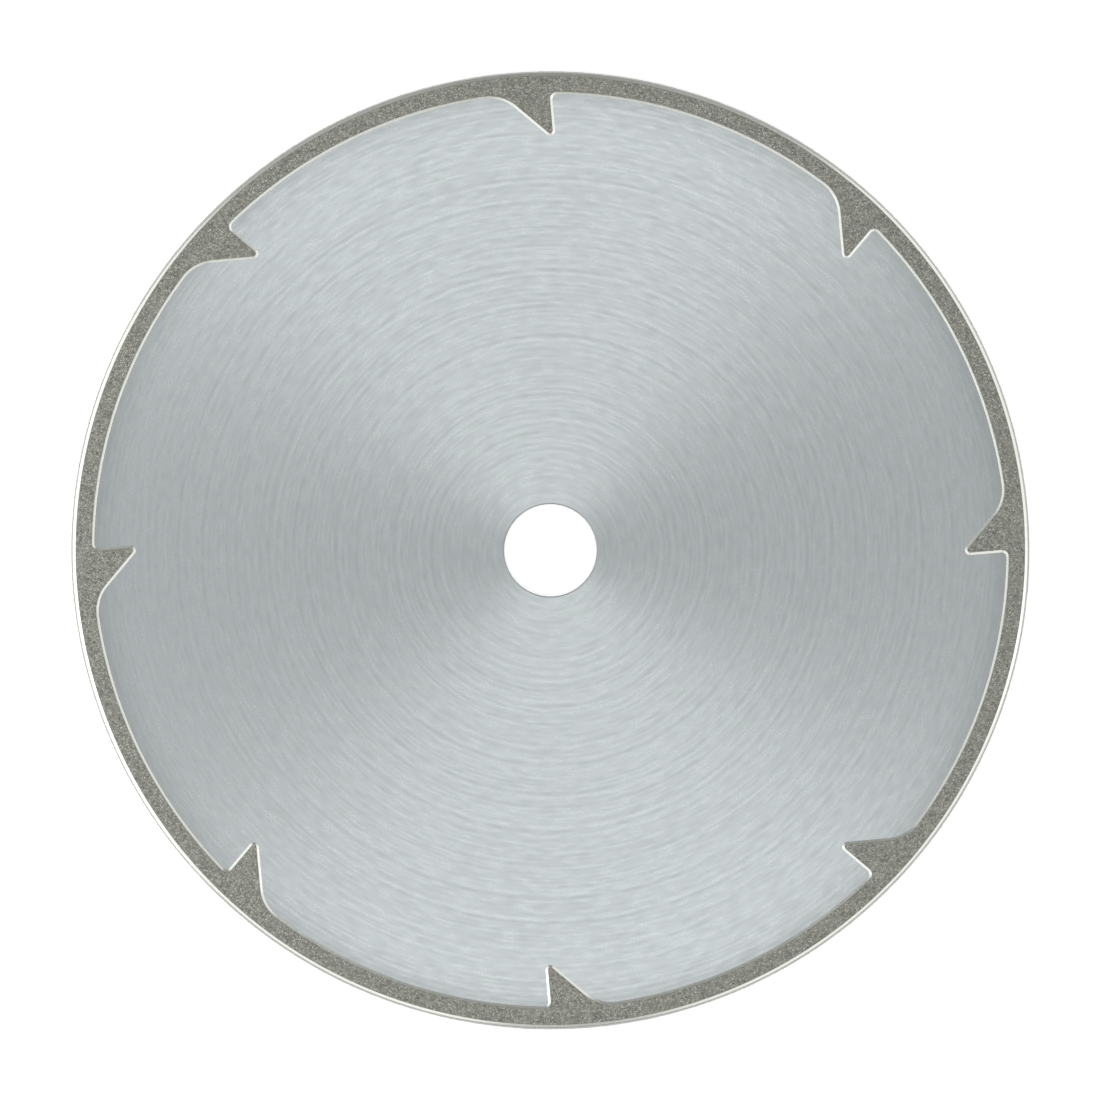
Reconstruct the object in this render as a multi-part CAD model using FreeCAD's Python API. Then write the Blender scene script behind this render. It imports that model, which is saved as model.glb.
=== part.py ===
import FreeCAD, Part
import math
import os

# Diamond cutting disc for an angle grinder, in millimetres: a flat steel core with a round bore, and
# a layer of diamond grit held in nickel that wraps the core's rim. On each face the layer is a narrow
# band with fins that hook inwards over the steel. The disc lies flat. The origin is at the middle of
# its lower side, +Z is the axis of turning, and +X and +Y lie in the plane of the disc.

# Steel core. The rim's chamfer keeps the layer thick enough where it turns the corner.
disc_dia = 230.0
bore_dia = 22.23
core_thick = 2.0
bore_chamfer = 0.2
rim_chamfer = 0.6

# Diamond layer, as thick on the rim as on the faces. Its raised face ends in a bevel on both sides:
# the inner bevel stops at a small upright land on the core, and the outer one at the round nose.
layer_thick = 0.4
band_width = 5.6
bevel_width = 0.8
bevel_land = 0.1
nose_depth = 0.6

# Fins: the leading flank is nearly radial, the trailing one slopes back to the band. Both angles are
# from the radius through the point where the flanks would meet, and fin_reach is from the rim to it.
fin_count = 8
first_fin_deg = 89.2
fin_reach = 17.1
fin_lead_deg = 5.6
fin_trail_deg = 51.0
fin_tip_r = 0.4
fin_lead_root_r = 1.1
fin_trail_root_r = 9.4

rim_r = disc_dia / 2
bore_r = bore_dia / 2
disc_thick = core_thick + 2 * layer_thick
core_low = layer_thick
core_high = layer_thick + core_thick
bevel_height = layer_thick - bevel_land
fin_pitch_deg = 360 / fin_count
core_r = rim_r - layer_thick

ORIGIN = FreeCAD.Vector(0, 0, 0)
AXIS = FreeCAD.Vector(0, 0, 1)


def line(start, end):
    return Part.LineSegment(start, end).toShape()


def arc(start, middle, end):
    return Part.Arc(start, middle, end).toShape()


def heading(degrees):
    """Unit vector in the plane of the disc that leans this far from +Y, towards -X."""
    lean = math.radians(degrees)
    return FreeCAD.Vector(-math.sin(lean), math.cos(lean), 0)


def between(first, second):
    """Unit vector halfway between two unit vectors."""
    middle = first + second
    return middle / middle.Length


def at(radius, z):
    return FreeCAD.Vector(radius, 0, z)


def turned(edges):
    """Solid made by turning a closed outline in the XZ plane about the axis."""
    return Part.Face(Part.Wire(edges)).revolve(ORIGIN, AXIS, 360)


def fin_root(corner, flank, steel_side, band_r, root_r):
    """Fillet between a flank and the band's circle, in the corner that the steel fills.

    Its centre is root_r from the flank and root_r inside the circle. Gives the fillet's end on the
    flank, its middle and its end on the circle.
    """
    start = corner + steel_side * root_r
    along = start.dot(flank)
    reach = math.sqrt(along ** 2 - start.dot(start) + (band_r - root_r) ** 2) - along
    centre = start + flank * reach
    outwards = centre / centre.Length
    middle = centre + between(steel_side * -1, outwards) * root_r
    return corner + flank * reach, middle, outwards * band_r


def fin_edges(inset):
    """One fin that points inwards from +Y, and the band's edge from it to the next fin.

    inset is how far the outline has drawn back from the layer's foot, up the bevel.
    """
    lead = heading(fin_lead_deg)
    trail = heading(fin_trail_deg)
    spine = between(lead, trail)
    half_tip = math.radians(fin_trail_deg - fin_lead_deg) / 2
    corner = heading(0) * (rim_r - fin_reach) + spine * (inset / math.sin(half_tip))

    tip_r = fin_tip_r + bevel_width - inset
    flat = tip_r / math.tan(half_tip)
    tip = corner + spine * (tip_r / math.sin(half_tip) - tip_r)

    band_r = rim_r - band_width + inset
    lead_side = heading(fin_lead_deg - 90)
    trail_side = heading(fin_trail_deg + 90)
    lead_end, lead_mid, lead_foot = fin_root(corner, lead, lead_side, band_r, fin_lead_root_r + inset)
    trail_end, trail_mid, trail_foot = fin_root(
        corner, trail, trail_side, band_r, fin_trail_root_r + inset)

    next_foot = FreeCAD.Rotation(AXIS, fin_pitch_deg).multVec(lead_foot)
    band_mid = between(trail_foot / band_r, next_foot / band_r) * band_r
    return [
        arc(lead_foot, lead_mid, lead_end),
        line(lead_end, corner + lead * flat),
        arc(corner + lead * flat, tip, corner + trail * flat),
        line(corner + trail * flat, trail_end),
        arc(trail_end, trail_mid, trail_foot),
        arc(trail_foot, band_mid, next_foot),
    ]


def bare_outline(inset, z):
    """Closed wire round the bare steel of a face: the band's inner edge with all its fins."""
    edges = []
    for k in range(fin_count):
        for edge in fin_edges(inset):
            edge.rotate(ORIGIN, AXIS, first_fin_deg - 90 + k * fin_pitch_deg)
            edge.translate(AXIS * z)
            edges.append(edge)
    return Part.Wire(edges)


def steel_core():
    """Flat disc turned from one outline, with its bore and its rim chamfered.

    The foot of the layer is drawn on both faces, so that the bare steel is a face by itself.
    """
    mouth_r = bore_r + bore_chamfer
    face_r = core_r - rim_chamfer
    corners = [
        at(mouth_r, core_low),
        at(face_r, core_low),
        at(core_r, core_low + rim_chamfer),
        at(core_r, core_high - rim_chamfer),
        at(face_r, core_high),
        at(mouth_r, core_high),
        at(bore_r, core_high - bore_chamfer),
        at(bore_r, core_low + bore_chamfer),
    ]
    blank = turned([line(a, b) for a, b in zip(corners, corners[1:] + corners[:1])])
    bare_steel = [Part.Face(bare_outline(0, z)) for z in (core_low, core_high)]
    return blank.generalFuse(bare_steel)[0].Solids[0]


def diamond_rim(core):
    """The layer: a disc with a bevelled, round-nosed rim, less the core and the bare steel's opening.

    The opening widens to both faces, which leaves the inner bevel with its land.
    """
    nose_foot_r = rim_r - nose_depth
    face_r = nose_foot_r - bevel_width
    axis_low, axis_high = at(0, 0), at(0, disc_thick)
    face_low, face_high = at(face_r, 0), at(face_r, disc_thick)
    nose_low = at(nose_foot_r, bevel_height)
    nose_high = at(nose_foot_r, disc_thick - bevel_height)
    blank = turned([
        line(axis_low, face_low),
        line(face_low, nose_low),
        arc(nose_low, at(rim_r, disc_thick / 2), nose_high),
        line(nose_high, face_high),
        line(face_high, axis_high),
        line(axis_high, axis_low),
    ])
    opening = Part.makeLoft([
        bare_outline(bevel_width, 0),
        bare_outline(0, bevel_height),
        bare_outline(0, disc_thick - bevel_height),
        bare_outline(bevel_width, disc_thick),
    ], True, True)
    return blank.cut(opening).cut(core)


def main():
    os.makedirs("parts", exist_ok=True)
    core = steel_core()
    nodes = {"steel_core": core, "diamond_rim": diamond_rim(core)}
    for name, shape in nodes.items():
        shape.exportStep(f"parts/{name}.step")
        box = shape.optimalBoundingBox(True, False)
        print(f"{name}: {len(shape.Solids)} solid, valid {shape.isValid()}, {shape.Volume:.1f} mm3,",
              f"{box.XLength:.3f} by {box.YLength:.3f} by {box.ZLength:.3f} mm, from z {box.ZMin:.3f}")


main()
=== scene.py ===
import math

import bpy
import numpy as np
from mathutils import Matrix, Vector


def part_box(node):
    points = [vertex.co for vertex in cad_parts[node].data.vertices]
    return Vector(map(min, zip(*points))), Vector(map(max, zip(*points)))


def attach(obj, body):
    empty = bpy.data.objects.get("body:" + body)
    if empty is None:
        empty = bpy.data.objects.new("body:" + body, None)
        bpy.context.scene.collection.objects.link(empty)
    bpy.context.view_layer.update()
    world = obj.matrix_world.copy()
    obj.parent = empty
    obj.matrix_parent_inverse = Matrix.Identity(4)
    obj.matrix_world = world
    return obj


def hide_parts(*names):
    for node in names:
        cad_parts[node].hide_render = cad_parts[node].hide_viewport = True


# Looks of a plated diamond cutting disc that lies flat on a white table, seen from straight above:
# a steel core ground in rings, and round its rim a nickel layer set with diamond grit, which has
# smooth bevelled edges and eight hooked fins on each face.

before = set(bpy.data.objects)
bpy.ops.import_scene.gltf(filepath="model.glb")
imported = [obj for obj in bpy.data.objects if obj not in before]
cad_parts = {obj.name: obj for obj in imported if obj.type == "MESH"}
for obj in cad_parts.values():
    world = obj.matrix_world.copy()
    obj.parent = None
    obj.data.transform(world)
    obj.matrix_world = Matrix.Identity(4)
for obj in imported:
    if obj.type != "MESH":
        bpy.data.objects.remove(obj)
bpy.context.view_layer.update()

MM = 0.001

# Sizes that the frame gives, in metres
rim_low, rim_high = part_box("diamond_rim")
core_low, core_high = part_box("steel_core")
RIM_R = (rim_high.x - rim_low.x) / 2
CORE_R = (core_high.x - core_low.x) / 2
MID_Z = (rim_high.z + rim_low.z) / 2
FACE_UP = rim_high.z - MID_Z
CORE_UP = core_high.z - MID_Z

# The layer's outline and edges, and the core's, as the solids have them
FIN_COUNT = 8
FIRST_FIN = math.radians(89.2)
FIN_REACH = 17.1 * MM
FIN_LEAD = math.radians(5.6)
FIN_TRAIL = math.radians(51.0)
FIN_TIP_R = 0.4 * MM
FIN_LEAD_ROOT_R = 1.1 * MM
FIN_TRAIL_ROOT_R = 9.4 * MM
BAND_WIDTH = 5.6 * MM
BEVEL_WIDTH = 0.8 * MM
BEVEL_LAND = 0.1 * MM
NOSE_DEPTH = 0.6 * MM
CORE_CHAMFER = 0.6 * MM
BORE_MOUTH_R = 11.315 * MM

# The grit. Its highest points reach the solid's surface, and the nickel lies GRAIN_RISE below them.
# GRAIN_R is a middling grain's half length. A grain's own is SIZES times that, and each of its axes
# STRETCHES times that again. SHAKES move a seat by shares of the pitch, or of the nose's rows.
GRAIN_RISE = 0.07 * MM
GRAIN_R = 0.34 * MM
GRAIN_SIZES = (0.72, 1.18)
GRAIN_STRETCHES = (0.85, 1.15)
GRAIN_FLATNESS = 0.28
GRAIN_PITCH = 0.56 * MM
GRAIN_EDGE = 0.22 * MM
SEAT_SHAKE = 0.32
ROW_SHAKE = 0.25
CREST_ROUND = 0.06 * MM

# The bevels lie on the solid's own, and end where they reach the nickel between the grains.
BEVEL_FOOT = CORE_UP + BEVEL_LAND
BEVEL_SLOPE = (FACE_UP - BEVEL_FOOT) / BEVEL_WIDTH
BARE_BEVEL = BEVEL_WIDTH - GRAIN_RISE / BEVEL_SLOPE

# Radius of the solid's nose: the arc through both outer bevels' feet and the rim
NOSE_R = (BEVEL_FOOT ** 2 + NOSE_DEPTH ** 2) / (2 * NOSE_DEPTH)

# The plating carries the outer bevel on a little way over the start of the nose
RUN_OUT = 0.12 * MM

# The photograph's frame: 1100 pixels across, of which the disc takes 959.2, a little off its middle
PHOTO_SIDE = 1100
DISC_PIXELS = 959.2
DISC_RIGHT, DISC_DOWN = 0.35, 0.3
FRAME_SIDE = 2 * RIM_R * PHOTO_SIDE / DISC_PIXELS


def linear(colour):
    """The linear values of an sRGB colour written as hex, with an alpha of 1."""
    parts = [int(colour[i:i + 2], 16) / 255 for i in (1, 3, 5)]
    return [c / 12.92 if c <= 0.04045 else ((c + 0.055) / 1.055) ** 2.4 for c in parts] + [1.0]


def node(tree, kind, inputs=None, **settings):
    """Adds a node. settings are its own options. inputs gives each socket a value or another's output.

    Sockets are numbered where a node has names twice or long ones. Map Range has the value at 0, its
    range at 1 and 2 and the new range at 3 and 4. Mix has the share at 0, numbers at 2 and 3, and
    colours at 6 and 7.
    """
    made = tree.nodes.new(kind)
    for name, value in settings.items():
        setattr(made, name, value)
    for key, value in (inputs or {}).items():
        if isinstance(value, bpy.types.NodeSocket):
            tree.links.new(value, made.inputs[key])
        else:
            made.inputs[key].default_value = value
    return made


def new_material(name):
    """An empty material and its node tree."""
    material = bpy.data.materials.new(name)
    material.use_nodes = True
    material.node_tree.nodes.clear()
    return material, material.node_tree


def heading(lean):
    """Unit vector that leans this far from +Y towards -X, in radians."""
    return np.array([-math.sin(lean), math.cos(lean)])


def unit(vectors):
    return vectors / np.linalg.norm(vectors, axis=-1, keepdims=True)


def turn(points, angle):
    """Points or vectors in the plane, turned counter-clockwise about the axis."""
    c, s = math.cos(angle), math.sin(angle)
    return points @ np.array([[c, s], [-s, c]])


def straight(start, end, count):
    """Points evenly spaced from start up to, but not including, end."""
    share = np.linspace(0, 1, count, endpoint=False)[:, None]
    return start + (end - start) * share


def bow(centre, start, end, count):
    """Points on the shorter arc about centre, from start up to, but not including, end."""
    a, b = (math.atan2(*(p - centre)[::-1]) for p in (start, end))
    sweep = (b - a + math.pi) % (2 * math.pi) - math.pi
    angle = a + sweep * np.linspace(0, 1, count, endpoint=False)
    return centre + np.linalg.norm(start - centre) * np.stack([np.cos(angle), np.sin(angle)], 1)


def fin_root(corner, flank, steel_side, root_r):
    """Centre of the fillet between a flank and the band's circle, and its ends on the two.

    The centre is root_r from the flank on the steel's side, and root_r inside the circle.
    """
    band_r = RIM_R - BAND_WIDTH
    start = corner + steel_side * root_r
    along = start @ flank
    reach = math.sqrt(along ** 2 - start @ start + (band_r - root_r) ** 2) - along
    centre = start + flank * reach
    return centre, corner + flank * reach, unit(centre) * band_r


def layer_foot():
    """The layer's foot on the steel, all round: points, normals into the layer, and aims on the rim.

    One fin points inwards from +Y: fillet, leading flank, rounded tip, trailing flank, fillet, then
    the band's arc to the next fin. It is worked out once and turned to its eight places. An aim is
    the angle of the point on the rim that a point of the foot is joined to across the layer's face.
    Along the band that is its own angle, and along a fin the rim above it is shared out between the
    five stretches, so that no two joins cross.
    """
    lead, trail = heading(FIN_LEAD), heading(FIN_TRAIL)
    lead_side, trail_side = heading(FIN_LEAD - math.pi / 2), heading(FIN_TRAIL + math.pi / 2)
    corner = heading(0) * (RIM_R - FIN_REACH)
    half_tip = (FIN_TRAIL - FIN_LEAD) / 2
    tip_r = FIN_TIP_R + BEVEL_WIDTH
    tip_centre = corner + unit(lead + trail) * tip_r / math.sin(half_tip)
    flat = tip_r / math.tan(half_tip)
    root_a, lead_end, lead_foot = fin_root(corner, lead, lead_side, FIN_LEAD_ROOT_R)
    root_b, trail_end, trail_foot = fin_root(corner, trail, trail_side, FIN_TRAIL_ROOT_R)
    next_foot = turn(lead_foot, 2 * math.pi / FIN_COUNT)

    # How many points each stretch has
    counts = (12, 12, 16, 16, 26, 84)
    points = [
        bow(root_a, lead_foot, lead_end, counts[0]),
        straight(lead_end, corner + lead * flat, counts[1]),
        bow(tip_centre, corner + lead * flat, corner + trail * flat, counts[2]),
        straight(corner + trail * flat, trail_end, counts[3]),
        bow(root_b, trail_end, trail_foot, counts[4]),
        bow(np.zeros(2), trail_foot, next_foot, counts[5]),
    ]
    normals = [
        unit(points[0] - root_a),
        np.tile(-lead_side, (counts[1], 1)),
        unit(tip_centre - points[2]),
        np.tile(-trail_side, (counts[3], 1)),
        unit(points[4] - root_b),
        unit(points[5]),
    ]
    # The shares of the rim above a fin at which its five stretches start and end
    shares = np.array([0, 0.22, 0.34, 0.40, 0.76, 1])
    first, last, following = (math.atan2(p[1], p[0]) for p in (lead_foot, trail_foot, next_foot))
    stops = np.append(first + (last - first) * shares, following)
    aims = [np.linspace(a, b, n, endpoint=False) for a, b, n in zip(stops, stops[1:], counts)]

    turns = [FIRST_FIN - math.pi / 2 + k * 2 * math.pi / FIN_COUNT for k in range(FIN_COUNT)]
    points, normals, aims = (np.concatenate(x) for x in (points, normals, aims))
    return (
        np.concatenate([turn(points, t) for t in turns]),
        np.concatenate([turn(normals, t) for t in turns]),
        np.concatenate([aims + t for t in turns]),
    )


def mesh_piece(name, corners, faces, materials, slots=None, smooth_under=None):
    """Object whose mesh has these corners, and these faces of equal size, written as whole arrays."""
    mesh = bpy.data.meshes.new(name)
    sides = faces.shape[1]
    mesh.vertices.add(len(corners))
    mesh.vertices.foreach_set("co", corners.astype(np.float32).ravel())
    mesh.loops.add(faces.size)
    mesh.loops.foreach_set("vertex_index", faces.astype(np.int32).ravel())
    mesh.polygons.add(len(faces))
    mesh.polygons.foreach_set("loop_start", np.arange(len(faces), dtype=np.int32) * sides)
    for material in materials:
        mesh.materials.append(material)
    if slots is not None:
        mesh.polygons.foreach_set("material_index", slots.astype(np.int32))
    mesh.update(calc_edges=True)
    if smooth_under is not None:
        mesh.polygons.foreach_set("use_smooth", np.ones(len(faces), bool))
        mesh.set_sharp_from_angle(angle=smooth_under)
    piece = bpy.data.objects.new(name, mesh)
    bpy.context.scene.collection.objects.link(piece)
    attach(piece, "root")
    return piece


def layer_section():
    """Half of the layer's section, from its foot on the core up and out to the middle of the nose.

    Gives one row for each line that runs round the disc: whether it follows the rim, its offset,
    its height above the mid plane, and whether the strip beyond it is gritted. A row on the foot's
    side is offset from the foot into the layer, and one on the rim's side is a radius. Where a bevel
    meets the gritted face, five rows round the edge off: a parabola, CREST_ROUND to each side, that
    leaves the bevel and meets the face without a kink. The outer bevel has a row at its foot, which
    keeps its shading flat, and runs on for RUN_OUT to the nose.
    """
    ground = FACE_UP - GRAIN_RISE
    offset = np.linspace(-1, 1, 5) * CREST_ROUND
    height = ground - BEVEL_SLOPE * (CREST_ROUND - offset) ** 2 / (4 * CREST_ROUND)
    nose_foot_r = RIM_R - NOSE_DEPTH
    rows = [(False, 0.0, CORE_UP, False), (False, 0.0, BEVEL_FOOT, False)]
    rows += [(False, BARE_BEVEL + o, h, True) for o, h in zip(offset, height)]
    rows += [(True, nose_foot_r - BARE_BEVEL - o, h, True) for o, h in zip(offset[::-1], height[::-1])]
    rows[-1] = (*rows[-1][:3], False)
    rows.append((True, nose_foot_r, BEVEL_FOOT, False))

    # The nose is the arc through both run-outs' ends and the rim, less the grit's rise.
    depth = NOSE_DEPTH - RUN_OUT - GRAIN_RISE
    half_height = BEVEL_FOOT - BEVEL_SLOPE * RUN_OUT
    nose_r = (half_height ** 2 + depth ** 2) / (2 * depth)
    angle = np.linspace(math.asin(half_height / nose_r), 0, 9)
    centre_r = nose_foot_r + RUN_OUT + depth - nose_r
    rows += [(True, centre_r + nose_r * math.cos(a), nose_r * math.sin(a), False) for a in angle]
    return rows


def nickel_layer(foot, normals, aims, bright, ground):
    """The layer's nickel: a closed skin, the section above carried round the foot.

    Each row of the section is a line round the disc, either the foot's parallel curve at the row's
    offset, or a circle of the row's radius at the aims. The lower half mirrors the upper one, and
    four rows along the core's rim close the skin underneath.
    """
    half = layer_section()
    before = [False] + [grit for *_, grit in half]
    lower = [(rim, offset, -up, grit) for (rim, offset, up, _), grit in zip(half[-2::-1], before[-3::-1])]
    core_face_r = CORE_R - CORE_CHAMFER
    inside = [
        (True, core_face_r, -CORE_UP, False),
        (True, CORE_R, CORE_CHAMFER - CORE_UP, False),
        (True, CORE_R, CORE_UP - CORE_CHAMFER, False),
        (True, core_face_r, CORE_UP, False),
    ]
    rows = half + lower + inside
    circle = np.stack([np.cos(aims), np.sin(aims)], 1)
    flat = [circle * offset if rim else foot + normals * offset for rim, offset, _, _ in rows]
    height = np.array([up for _, _, up, _ in rows]) + MID_Z
    grid = np.empty((len(rows), len(aims), 3))
    grid[:, :, :2] = flat
    grid[:, :, 2] = height[:, None]

    row, station = np.meshgrid(np.arange(len(rows)), np.arange(len(aims)), indexing="ij")
    next_row, next_station = (row + 1) % len(rows), (station + 1) % len(aims)
    here, there = row * len(aims), next_row * len(aims)
    faces = np.stack([here + station, there + station, there + next_station, here + next_station], -1)
    gritted = np.array([grit for *_, grit in rows])
    slots = np.repeat(gritted, len(aims))
    return mesh_piece("nickel_layer", grid.reshape(-1, 3), faces.reshape(-1, 4),
                      [bright, ground], slots, smooth_under=math.radians(35))


def random_turns(rng, count):
    """Rotation matrices spread evenly over all directions, from unit quaternions."""
    w, x, y, z = unit(rng.normal(size=(count, 4))).T
    return np.stack([
        1 - 2 * (y * y + z * z), 2 * (x * y - w * z), 2 * (x * z + w * y),
        2 * (x * y + w * z), 1 - 2 * (x * x + z * z), 2 * (y * z - w * x),
        2 * (x * z - w * y), 2 * (y * z + w * x), 1 - 2 * (x * x + y * y),
    ], 1).reshape(count, 3, 3)


OCTAHEDRON = np.array([[1, 0, 0], [-1, 0, 0], [0, 1, 0], [0, -1, 0], [0, 0, 1], [0, 0, -1]], float)
OCTAHEDRON_FACES = np.array([
    [0, 2, 4], [2, 1, 4], [1, 3, 4], [3, 0, 4], [2, 0, 5], [1, 2, 5], [3, 1, 5], [0, 3, 5],
])


def grit(name, seats, outwards, proud, rng, material):
    """Diamond grains: octahedra, the crystal's own form, stretched a little and turned at random.

    A seat is a point of the solid's surface, outwards is its normal, and proud gives the height of any
    points over that surface. Each grain lies on its flat, so it is squashed along the normal to
    GRAIN_FLATNESS of its height. Then it is moved along the normal until its highest corner is at the
    surface, or up to half of GRAIN_RISE below it. On the nose, where heights and normals differ a
    little, three moves bring it there.
    """
    count = len(seats)
    size = GRAIN_R * rng.uniform(*GRAIN_SIZES, (count, 1, 1)) * rng.uniform(*GRAIN_STRETCHES, (count, 1, 3))
    corners = np.einsum("nij,nkj->nki", random_turns(rng, count), OCTAHEDRON * size)
    up = np.einsum("nki,ni->nk", corners, outwards)
    corners -= (1 - GRAIN_FLATNESS) * up[..., None] * outwards[:, None]
    corners += seats[:, None]
    for _ in range(3):
        corners -= proud(corners).max(1)[:, None, None] * outwards[:, None]
    corners -= rng.uniform(0, 0.5, (count, 1, 1)) * GRAIN_RISE * outwards[:, None]
    faces = OCTAHEDRON_FACES + np.arange(count)[:, None, None] * len(OCTAHEDRON)
    piece = mesh_piece(name, corners.reshape(-1, 3), faces.reshape(-1, 3), [material])
    tone = piece.data.attributes.new("tone", "FLOAT", "POINT")
    shade = np.repeat(rng.random(count), len(OCTAHEDRON))
    tone.data.foreach_set("value", shade.astype(np.float32))
    return piece


def outside(points, outline):
    """Whether each point is outside a closed outline, by how often a ray towards +X crosses it."""
    a, b = outline, np.roll(outline, -1, 0)
    x, y = points[:, :1], points[:, 1:]
    spans = (a[:, 1] > y) != (b[:, 1] > y)
    rise = np.where(b[:, 1] == a[:, 1], 1.0, b[:, 1] - a[:, 1])
    crossing = a[:, 0] + (y - a[:, 1]) * (b[:, 0] - a[:, 0]) / rise
    return (spans & (x < crossing)).sum(1) % 2 == 0


def face_seats(foot, normals, rng):
    """Seats on a flat face: a hexagonal net, each point shaken, kept where the face is gritted."""
    outer_r = RIM_R - NOSE_DEPTH - BARE_BEVEL - GRAIN_EDGE
    column = np.arange(-outer_r, outer_r, GRAIN_PITCH)
    row = np.arange(-outer_r, outer_r, GRAIN_PITCH * math.sqrt(0.75))
    x, y = np.meshgrid(column, row)
    x[1::2] += GRAIN_PITCH / 2
    seats = np.stack([x.ravel(), y.ravel()], 1)
    seats += rng.uniform(-SEAT_SHAKE, SEAT_SHAKE, seats.shape) * GRAIN_PITCH
    radius = np.linalg.norm(seats, axis=1)
    seats = seats[(radius < outer_r) & (radius > RIM_R - FIN_REACH)]
    edge = foot + normals * (BARE_BEVEL + GRAIN_EDGE)
    # In two dozen parts, because each part is tested against the whole outline at once
    return np.concatenate([part[outside(part, edge)] for part in np.array_split(seats, 24)])


def over_face(side):
    """Function that gives points' height over the upper face, for side 1, or the lower, for -1."""
    return lambda points: side * (points[..., 2] - MID_Z) - FACE_UP


def over_nose(points):
    """Points' height over the nose: the distance to the circle of its arc's centres, less its radius."""
    across = np.hypot(points[..., 0], points[..., 1]) - (RIM_R - NOSE_R)
    return np.hypot(across, points[..., 2] - MID_Z) - NOSE_R


def nose_seats(rng):
    """Seats and normals on the nose: rows round the disc on the arc of the solid's section."""
    reach = math.asin(BEVEL_FOOT / NOSE_R) - (RUN_OUT / BEVEL_SLOPE + GRAIN_EDGE) / NOSE_R
    rows = round(2 * reach * NOSE_R / (GRAIN_PITCH * math.sqrt(0.75))) + 1
    around = round(2 * math.pi * RIM_R / GRAIN_PITCH)
    up, along = np.meshgrid(np.linspace(-reach, reach, rows), np.arange(around), indexing="ij")
    along = along + (np.arange(rows) % 2 / 2)[:, None]
    along = (along + rng.uniform(-SEAT_SHAKE, SEAT_SHAKE, along.shape)) * 2 * math.pi / around
    up = up + rng.uniform(-ROW_SHAKE, ROW_SHAKE, up.shape) * 2 * reach / (rows - 1)
    up, along = up.ravel(), along.ravel()
    outwards = np.stack([np.cos(up) * np.cos(along), np.cos(up) * np.sin(along), np.sin(up)], 1)
    centre = np.stack([np.cos(along), np.sin(along), np.zeros(len(up))], 1) * (RIM_R - NOSE_R)
    return centre + outwards * NOSE_R + [0, 0, MID_Z], outwards


def ring_noise(tree, around, radius, width, spread):
    """Noise in streaks that run round the bore, each as wide as width, in metres.

    The noise is read at (around / spread, radius / width), so it has no seam. around is either the
    place, and spread a streak's length in metres, or the direction from the bore, and spread a turn.
    """
    scaled = node(tree, "ShaderNodeVectorMath", {0: around, 1: (1 / spread,) * 3},
                  operation="MULTIPLY")
    depth = node(tree, "ShaderNodeMath", {0: radius, 1: 1 / width}, operation="MULTIPLY")
    lift = node(tree, "ShaderNodeCombineXYZ", {"Z": depth.outputs[0]})
    place = node(tree, "ShaderNodeVectorMath", {0: scaled.outputs[0], 1: lift.outputs[0]})
    noise = node(tree, "ShaderNodeTexNoise",
                 {"Vector": place.outputs[0], "Scale": 1.0, "Detail": 0.6, "Roughness": 0.6})
    return noise.outputs["Fac"]


def ground_steel():
    """Hardened saw steel, ground flat on a turning table and left bare.

    The grinding leaves fine rings about the bore. They spread a reflection outwards and inwards but
    not along the rings, so the light is caught in two broad fans on opposite sides of the bore. Real
    grinding lines are some hundredths of a millimetre wide, too fine to show, so they are drawn about
    1 mm wide. The colour also carries painted shade: it is darkened over the last millimetres before
    the raised layer, as if in its shadow, and on the bore's chamfer and wall.
    """
    # Width of the painted shade before the raised layer's foot
    layer_shade_width = 6 * MM
    foot_r = RIM_R - BAND_WIDTH
    material, tree = new_material("ground saw steel")
    place = node(tree, "ShaderNodeTexCoord").outputs["Object"]
    flat = node(tree, "ShaderNodeVectorMath", {0: place, 1: (1, 1, 0)}, operation="MULTIPLY").outputs[0]
    radius = node(tree, "ShaderNodeVectorMath", {0: flat}, operation="LENGTH").outputs["Value"]
    outwards = node(tree, "ShaderNodeVectorMath", {0: flat}, operation="NORMALIZE").outputs[0]
    arcs = ring_noise(tree, flat, radius, width=0.9 * MM, spread=3.8 * MM)
    rings = ring_noise(tree, outwards, radius, width=1.0 * MM, spread=20)
    marks = node(tree, "ShaderNodeMix", {0: 0.57, 2: arcs, 3: rings}, data_type="FLOAT").outputs[0]
    shade = node(tree, "ShaderNodeMapRange", {0: marks, 1: 0.3, 2: 0.7, 3: 0.0, 4: 1.0}).outputs[0]
    colour = node(tree, "ShaderNodeMix", {0: shade, 6: linear("#B4B9BA"), 7: linear("#CBD0D1")},
                  data_type="RGBA").outputs[2]
    # Painted shade: the steel grows darker towards the raised layer's foot, down to 0.85 of its colour
    # there
    painted_layer_shade = node(tree, "ShaderNodeMapRange", {
        0: radius, 1: foot_r - layer_shade_width, 2: foot_r, 3: 1.0, 4: 0.85}).outputs[0]
    # Painted shade: inside the bore mouth's radius, the chamfer and bore wall are darkened to 0.88 of the
    # colour
    painted_chamfer_shade = node(tree, "ShaderNodeMapRange", {
        0: radius, 1: BORE_MOUTH_R, 2: BORE_MOUTH_R + 0.1 * MM, 3: 0.88, 4: 1.0}).outputs[0]
    # Both painted shades multiply the ground colour
    edges = node(tree, "ShaderNodeMath", {0: painted_layer_shade, 1: painted_chamfer_shade}, operation="MULTIPLY").outputs[0]
    colour = node(tree, "ShaderNodeVectorMath", {0: colour, 1: edges}, operation="MULTIPLY").outputs[0]
    rough = node(tree, "ShaderNodeMapRange", {0: marks, 1: 0.3, 2: 0.7, 3: 0.325, 4: 0.245}).outputs[0]
    bump = node(tree, "ShaderNodeBump", {"Height": marks, "Strength": 1.0, "Distance": 0.01 * MM})
    surface = node(tree, "ShaderNodeBsdfPrincipled", {
        "Base Color": colour, "Metallic": 1.0, "Roughness": rough, "Anisotropic": 0.7,
        "Tangent": outwards, "Normal": bump.outputs[0],
    })
    node(tree, "ShaderNodeOutputMaterial", {"Surface": surface.outputs[0]})
    return material


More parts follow.
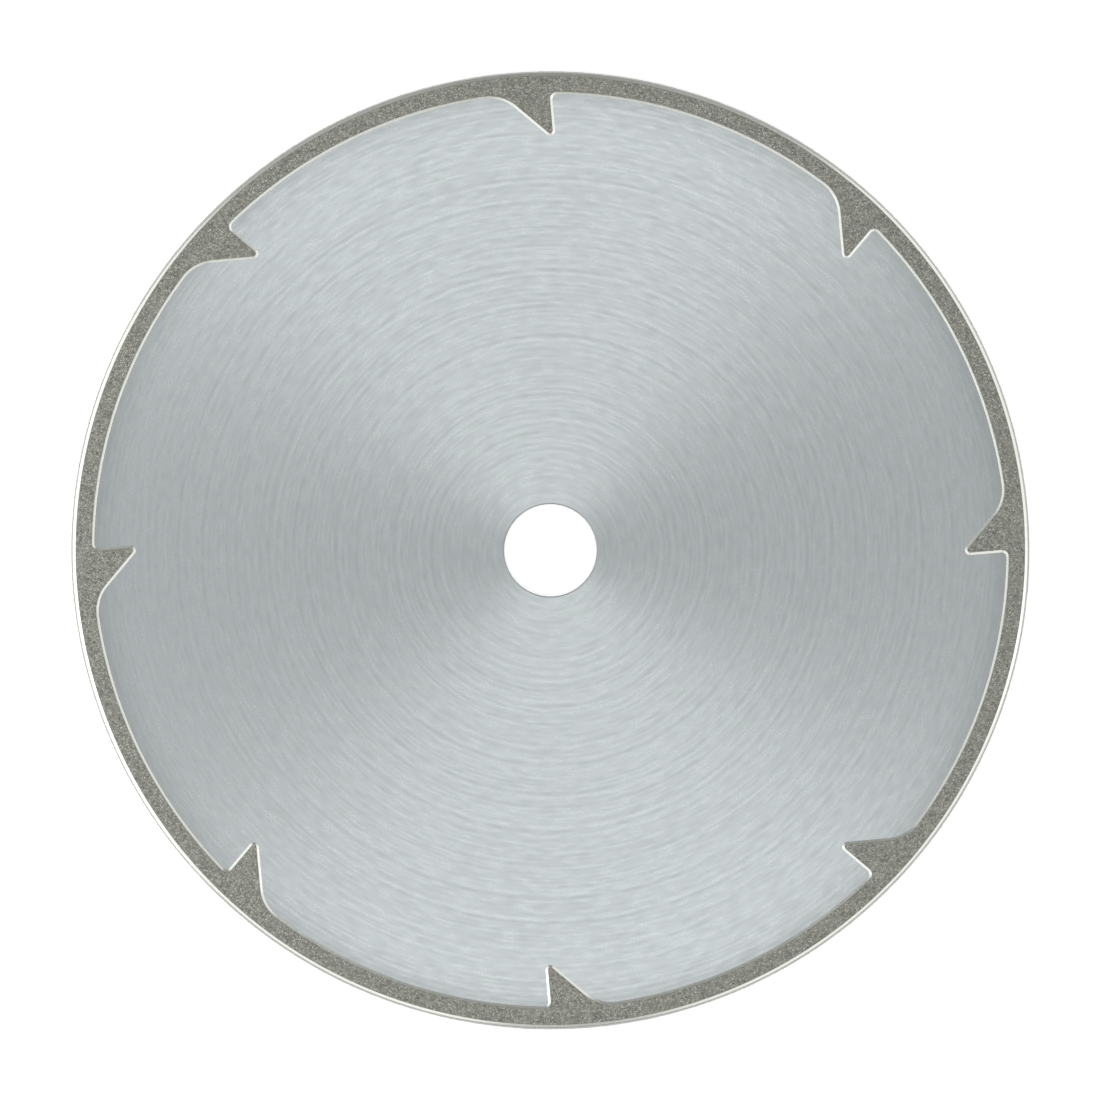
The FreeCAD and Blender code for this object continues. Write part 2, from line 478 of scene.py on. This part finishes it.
def bright_nickel():
    """Nickel as it leaves the plating bath, on the smooth bevels: bright, warm, faintly uneven."""
    material, tree = new_material("bright plated nickel")
    place = node(tree, "ShaderNodeTexCoord").outputs["Object"]
    ripple = node(tree, "ShaderNodeTexNoise",
                  {"Vector": place, "Scale": 1 / (0.9 * MM), "Detail": 2.0}).outputs["Fac"]
    colour = node(tree, "ShaderNodeMix", {0: ripple, 6: linear("#DEDED6"), 7: linear("#EAEAE3")},
                  data_type="RGBA").outputs[2]
    rough = node(tree, "ShaderNodeMapRange", {0: ripple, 1: 0.3, 2: 0.7, 3: 0.18, 4: 0.24}).outputs[0]
    surface = node(tree, "ShaderNodeBsdfPrincipled",
                   {"Base Color": colour, "Metallic": 1.0, "Roughness": rough})
    node(tree, "ShaderNodeOutputMaterial", {"Surface": surface.outputs[0]})
    return material


def matte_nickel():
    """The nickel between the grains: pulled up round each of them, so dull, and lumpy at their size."""
    material, tree = new_material("matte nickel bond")
    place = node(tree, "ShaderNodeTexCoord").outputs["Object"]
    lumps = node(tree, "ShaderNodeTexNoise",
                 {"Vector": place, "Scale": 1 / (0.5 * MM), "Detail": 2.0}).outputs["Fac"]
    colour = node(tree, "ShaderNodeMix", {0: lumps, 6: linear("#4A4A44"), 7: linear("#B8B8AE")},
                  data_type="RGBA").outputs[2]
    bump = node(tree, "ShaderNodeBump", {"Height": lumps, "Strength": 0.6, "Distance": 0.10 * MM})
    surface = node(tree, "ShaderNodeBsdfPrincipled", {
        "Base Color": colour, "Metallic": 0.7, "Roughness": 0.55, "Normal": bump.outputs[0]})
    node(tree, "ShaderNodeOutputMaterial", {"Surface": surface.outputs[0]})
    return material


def diamond_grain():
    """Synthetic diamond, crushed and sieved: small crystals from dark olive to pale straw.

    Crushing roughens their faces, which dulls them, so the IOR is a little under diamond's 2.42. Real
    grains are about 0.4 mm across. These are a little larger, so that they show.
    """
    material, tree = new_material("synthetic diamond grit")
    tone = node(tree, "ShaderNodeAttribute", attribute_name="tone").outputs["Fac"]
    place = node(tree, "ShaderNodeTexCoord").outputs["Object"]
    cloud = node(tree, "ShaderNodeTexNoise",
                 {"Vector": place, "Scale": 1 / (3 * MM), "Detail": 1.0}).outputs["Fac"]
    mixed = node(tree, "ShaderNodeMix", {0: 0.15, 2: tone, 3: cloud}, data_type="FLOAT").outputs[0]
    colour = node(tree, "ShaderNodeMix", {0: mixed, 6: linear("#565650"), 7: linear("#CACABF")},
                  data_type="RGBA").outputs[2]
    surface = node(tree, "ShaderNodeBsdfPrincipled",
                   {"Base Color": colour, "Roughness": 0.45, "IOR": 2.0})
    node(tree, "ShaderNodeOutputMaterial", {"Surface": surface.outputs[0]})
    return material


def white_table():
    """A matte white table. What the camera sees of it is raised to white, less the disc's shadow,
    and what metal mirrors of it is raised by a quarter as much."""
    raised = 0.66
    mirrored = 0.25
    material, tree = new_material("white table")
    rays = node(tree, "ShaderNodeLightPath").outputs
    seen = node(tree, "ShaderNodeMath", {0: rays["Is Glossy Ray"], 1: mirrored, 2: rays["Is Camera Ray"]},
                operation="MULTIPLY_ADD").outputs[0]
    glow = node(tree, "ShaderNodeMath", {0: seen, 1: raised}, operation="MULTIPLY").outputs[0]
    paint = node(tree, "ShaderNodeBsdfDiffuse", {"Color": linear("#C8C8C8")})
    lift = node(tree, "ShaderNodeEmission", {"Color": (1, 1, 1, 1), "Strength": glow})
    both = node(tree, "ShaderNodeAddShader", {0: paint.outputs[0], 1: lift.outputs[0]})
    node(tree, "ShaderNodeOutputMaterial", {"Surface": both.outputs[0]})
    half = 6.0
    mesh = bpy.data.meshes.new("table")
    mesh.from_pydata([(-half, -half, 0), (half, -half, 0), (half, half, 0), (-half, half, 0)], [],
                     [(0, 1, 2, 3)])
    mesh.materials.append(material)
    table = bpy.data.objects.new("table", mesh)
    bpy.context.scene.collection.objects.link(table)


def sky():
    """Studio surroundings: dim overhead, paler near the table at the two sides. The camera sees plain
    white behind the table."""
    overhead, front_and_back = (0.33, 0.343, 0.343, 1), (0.28, 0.28, 0.27, 1)
    left, right = 0.6, 0.55
    world = bpy.data.worlds.new("studio")
    bpy.context.scene.world = world
    world.use_nodes = True
    tree = world.node_tree
    tree.nodes.clear()
    way = node(tree, "ShaderNodeTexCoord").outputs["Generated"]
    parts = node(tree, "ShaderNodeSeparateXYZ", {0: way}).outputs
    side = node(tree, "ShaderNodeMapRange", {0: parts["X"], 1: -1.0, 2: 1.0, 3: left, 4: right}).outputs[0]
    aside = node(tree, "ShaderNodeMath", {0: parts["X"]}, operation="ABSOLUTE").outputs[0]
    walls = node(tree, "ShaderNodeMix", {0: aside, 6: front_and_back, 7: side},
                 data_type="RGBA").outputs[2]
    share = node(tree, "ShaderNodeMapRange", {0: parts["Z"], 1: 0.1, 2: 0.45, 3: 0.0, 4: 1.0}).outputs[0]
    colour = node(tree, "ShaderNodeMix", {0: share, 6: walls, 7: overhead},
                  data_type="RGBA").outputs[2]
    seen = node(tree, "ShaderNodeLightPath").outputs["Is Camera Ray"]
    colour = node(tree, "ShaderNodeMix", {0: seen, 6: colour, 7: (1, 1, 1, 1)}, data_type="RGBA").outputs[2]
    light = node(tree, "ShaderNodeBackground", {"Color": colour, "Strength": 1.0})
    node(tree, "ShaderNodeOutputWorld", {"Surface": light.outputs[0]})


# Each lamp's bearing, tilt, distance, width, height and power. One hangs overhead. The ground rings
# catch the upper and lower ones as two fans, and the nose the two low ones at the sides. At a tilt
# near 42 a bevel mirrors a lamp upwards, the outer bevels on the lamp's side and the inner ones on
# the far side, and the last three, which are weak, are for the bevels that the four before miss.
LAMPS = {
    "overhead_softbox": (0, 0, 2.6, 0.9, 0.9, 1.05),
    "upper_softbox": (95.5, 15, 2.6, 0.5, 1.5, 4.3),
    "lower_softbox": (275.5, 15, 2.6, 0.5, 1.5, 4.3),
    "low_left_softbox": (187, 67, 0.45, 0.16, 0.6, 0.62),
    "low_right_softbox": (10, 67, 0.8, 0.28, 1.1, 0.5),
    "left_softbox_172": (172, 42, 1.1, 0.48, 1.1, 1.5),
    "left_softbox_225": (225, 42, 1.1, 0.48, 1.1, 1.5),
    "right_softbox_320": (320, 42, 1.5, 0.65, 1.4, 2.35),
    "right_softbox_19": (19, 42, 1.5, 0.65, 1.4, 2.35),
    "top_softbox_66": (66, 47, 1.1, 0.3, 0.4, 0.06),
    "top_softbox_117": (117, 47, 1.1, 0.3, 0.4, 0.06),
    "low_softbox": (272, 40, 1.1, 0.48, 0.45, 0.18),
}


def softbox(name, bearing, tilt, distance, width, height, power):
    """Rectangular lamp aimed at the disc. bearing is its angle from +X about the axis, and tilt its
    lean from straight overhead, both in degrees. width lies along the lean. power is in watts."""
    lamp = bpy.data.lights.new(name, "AREA")
    lamp.shape = "RECTANGLE"
    lamp.size, lamp.size_y = width, height
    lamp.energy = power
    a, t = math.radians(bearing), math.radians(tilt)
    holder = bpy.data.objects.new(name, lamp)
    holder.location = (distance * math.sin(t) * math.cos(a), distance * math.sin(t) * math.sin(a),
                       distance * math.cos(t))
    holder.rotation_euler = (0, t, a)
    holder.visible_camera = False
    bpy.context.scene.collection.objects.link(holder)


def camera():
    """Long lens straight above, with the photograph's frame width at the disc's upper face."""
    lens, sensor = 200, 36
    data = bpy.data.cameras.new("camera")
    data.lens, data.sensor_width = lens, sensor
    holder = bpy.data.objects.new("camera", data)
    pixel = FRAME_SIDE / PHOTO_SIDE
    holder.location = (-DISC_RIGHT * pixel, DISC_DOWN * pixel, rim_high.z + FRAME_SIDE * lens / sensor)
    bpy.context.scene.collection.objects.link(holder)
    bpy.context.scene.camera = holder


def dress():
    """Puts the finish on the core, and the nickel and its grit on the rim."""
    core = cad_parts["steel_core"]
    core.data.materials.clear()
    core.data.materials.append(ground_steel())

    foot, normals, aims = layer_foot()
    layer = nickel_layer(foot, normals, aims, bright_nickel(), matte_nickel())
    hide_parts("diamond_rim")

    rng = np.random.default_rng(230)
    grain = diamond_grain()
    for name, side in (("grit_upper_face", 1), ("grit_lower_face", -1)):
        flat = face_seats(foot, normals, rng)
        seats = np.column_stack([flat, np.full(len(flat), MID_Z + side * FACE_UP)])
        outwards = np.tile([0.0, 0.0, side], (len(flat), 1))
        grit(name, seats, outwards, over_face(side), rng, grain)
    grit("grit_nose", *nose_seats(rng), over_nose, rng, grain)


dress()
white_table()
sky()
for name, setting in LAMPS.items():
    softbox(name, *setting)
camera()
bpy.context.scene.view_settings.view_transform = "Standard"
